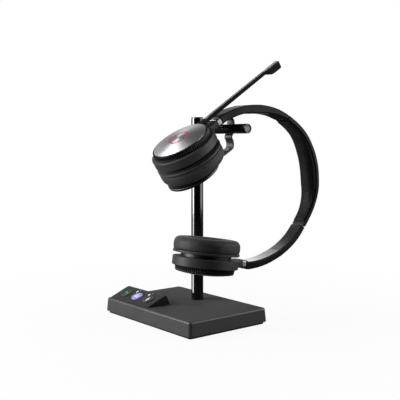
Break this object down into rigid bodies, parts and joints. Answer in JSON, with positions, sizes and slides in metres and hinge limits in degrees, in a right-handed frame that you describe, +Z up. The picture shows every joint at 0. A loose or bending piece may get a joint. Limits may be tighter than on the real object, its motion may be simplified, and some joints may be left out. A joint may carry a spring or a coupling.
{
  "type": "office headset",
  "caption": "Two-cup office headset with a rotating microphone boom, hung on the dock hook of a pole stand with a weighted base and sloped key panel.",
  "frame": {"origin": "centre of the rubber mat under the stand, in the plane of the desk", "axes": "+Z up out of the desk, +X along the long front edge of the base, +Y to the rear; the keys face -Y"},
  "size_m": [0.1409, 0.1986, 0.2519],
  "materials": {
    "base_plastic": "fine satin grain, dark grey",
    "panel_plastic": "fine satin, dark grey with a gloss black end",
    "black_plastic": "matte black",
    "charcoal_plastic": "soft-touch matte charcoal",
    "boom_plastic": "satin black",
    "hook_plastic": "satin dark grey",
    "gloss_black": "gloss black lacquer",
    "silver_plate": "circular brushed, satin silver",
    "silver": "satin silver",
    "steel": "brushed",
    "rubber": "matte black rubber",
    "leatherette": "black leatherette, fine grain",
    "cloth": "fine black speaker cloth",
    "board": "green circuit board",
    "cell": "pouch cell foil",
    "light_white": "translucent white light guide",
    "light_red": "translucent red light guide",
    "key_green": null,
    "key_violet": null,
    "key_white": null
  },
  "bodies": {
    "stand": {"base_shell": "base_plastic", "base_bottom_plate": "steel", "rubber_mat": "rubber", "base_screw_left": "steel", "base_screw_right": "steel", "ballast_plate": "steel", "base_circuit_board": "board", "usb_socket": "steel", "control_panel": "panel_plastic", "status_light_left": "light_white", "status_light_right": "light_white", "pole": "gloss_black", "pole_cap": "gloss_black", "pole_bolt": "steel", "hanger_bar": "gloss_black", "bar_end_cap": "gloss_black", "bar_screw": "steel", "dock_hook": "hook_plastic", "hook_screw": "steel", "charge_contact": "silver", "rest_disc": "hook_plastic"},
    "call_key": {"call_key": "key_green"},
    "assistant_key": {"assistant_key": "key_violet"},
    "mute_key": {"mute_key": "key_white"},
    "upper_cup": {"upper_cover_plate": "silver_plate", "upper_housing": "charcoal_plastic", "upper_inner_cover": "black_plastic", "light_ring": "light_red", "headset_circuit_board": "board"},
    "button": {"multifunction_button": "silver_plate"},
    "boom": {"boom_ring": "black_plastic", "boom_arm": "boom_plastic", "microphone_capsule": "boom_plastic"},
    "upper_cushion": {"upper_cushion_carrier": "charcoal_plastic", "upper_speaker_driver": "black_plastic", "upper_ear_cushion": "leatherette", "upper_ear_cloth": "cloth"},
    "upper_arm": {"upper_arm": "charcoal_plastic", "upper_collar": "silver", "upper_swivel_pin": "steel", "upper_slider": "steel"},
    "headband": {"headband_frame": "charcoal_plastic", "headband_pad": "leatherette"},
    "lower_arm": {"lower_arm": "charcoal_plastic", "lower_collar": "silver", "lower_swivel_pin": "steel", "lower_slider": "steel"},
    "lower_cup": {"lower_cover_plate": "silver_plate", "lower_housing": "charcoal_plastic", "lower_inner_cover": "black_plastic", "battery": "cell", "lower_trim_ring": "black_plastic"},
    "lower_cushion": {"lower_cushion_carrier": "charcoal_plastic", "lower_speaker_driver": "black_plastic", "lower_ear_cushion": "leatherette", "lower_ear_cloth": "cloth"}
  },
  "joints": [
    {"name": "call_key_press", "type": "slide", "parent": "stand", "child": "call_key", "axis": [0, 0.3699, -0.9291], "range_m": [0, 0.0005], "stiffness_N_per_m": 800, "springref_m": -0.0003},
    {"name": "assistant_key_press", "type": "slide", "parent": "stand", "child": "assistant_key", "axis": [0, 0.3699, -0.9291], "range_m": [0, 0.0005], "stiffness_N_per_m": 800, "springref_m": -0.0003},
    {"name": "mute_key_press", "type": "slide", "parent": "stand", "child": "mute_key", "axis": [0, 0.3699, -0.9291], "range_m": [0, 0.0005], "stiffness_N_per_m": 800, "springref_m": -0.0003},
    {"name": "headset_lift", "type": "slide", "parent": "stand", "child": "upper_cup", "axis": [0, 0, 1], "range_m": [0, 0.012]},
    {"name": "button_press", "type": "slide", "parent": "upper_cup", "child": "button", "axis": [0, 0.5592, -0.829], "range_m": [0, 0.0005], "stiffness_N_per_m": 800, "springref_m": -0.0003},
    {"name": "boom_rotation", "type": "hinge", "parent": "upper_cup", "child": "boom", "pos_m": [0.0402, -0.0358, 0.175], "axis": [0, -0.5592, 0.829], "range_deg": [-150, 150]},
    {"name": "upper_cushion_tilt", "type": "hinge", "parent": "upper_cup", "child": "upper_cushion", "pos_m": [0.0402, -0.02685, 0.16173], "axis": [1, 0, 0], "range_deg": [-2, 2]},
    {"name": "upper_swivel", "type": "hinge", "parent": "upper_cup", "child": "upper_arm", "pos_m": [0.0402, 0.00533, 0.19092], "axis": [0, -0.829, -0.5592], "range_deg": [-2.5, 12]},
    {"name": "upper_extension", "type": "hinge", "parent": "upper_arm", "child": "headband", "pos_m": [0.0402, 0.06416, 0.12963], "axis": [-1, 0, 0], "range_deg": [0, 9.4]},
    {"name": "lower_extension", "type": "hinge", "parent": "headband", "child": "lower_arm", "pos_m": [0.0402, 0.0554, 0.14208], "axis": [-1, 0, 0], "range_deg": [0, 8.2]},
    {"name": "lower_swivel", "type": "hinge", "parent": "lower_arm", "child": "lower_cup", "pos_m": [0.0402, 0.03671, 0.0558], "axis": [0, 0.9914, -0.1305], "range_deg": [-15, 15]},
    {"name": "lower_cushion_tilt", "type": "hinge", "parent": "lower_cup", "child": "lower_cushion", "pos_m": [0.0402, -0.00511, 0.06756], "axis": [1, 0, 0], "range_deg": [-6, 6]}
  ]
}
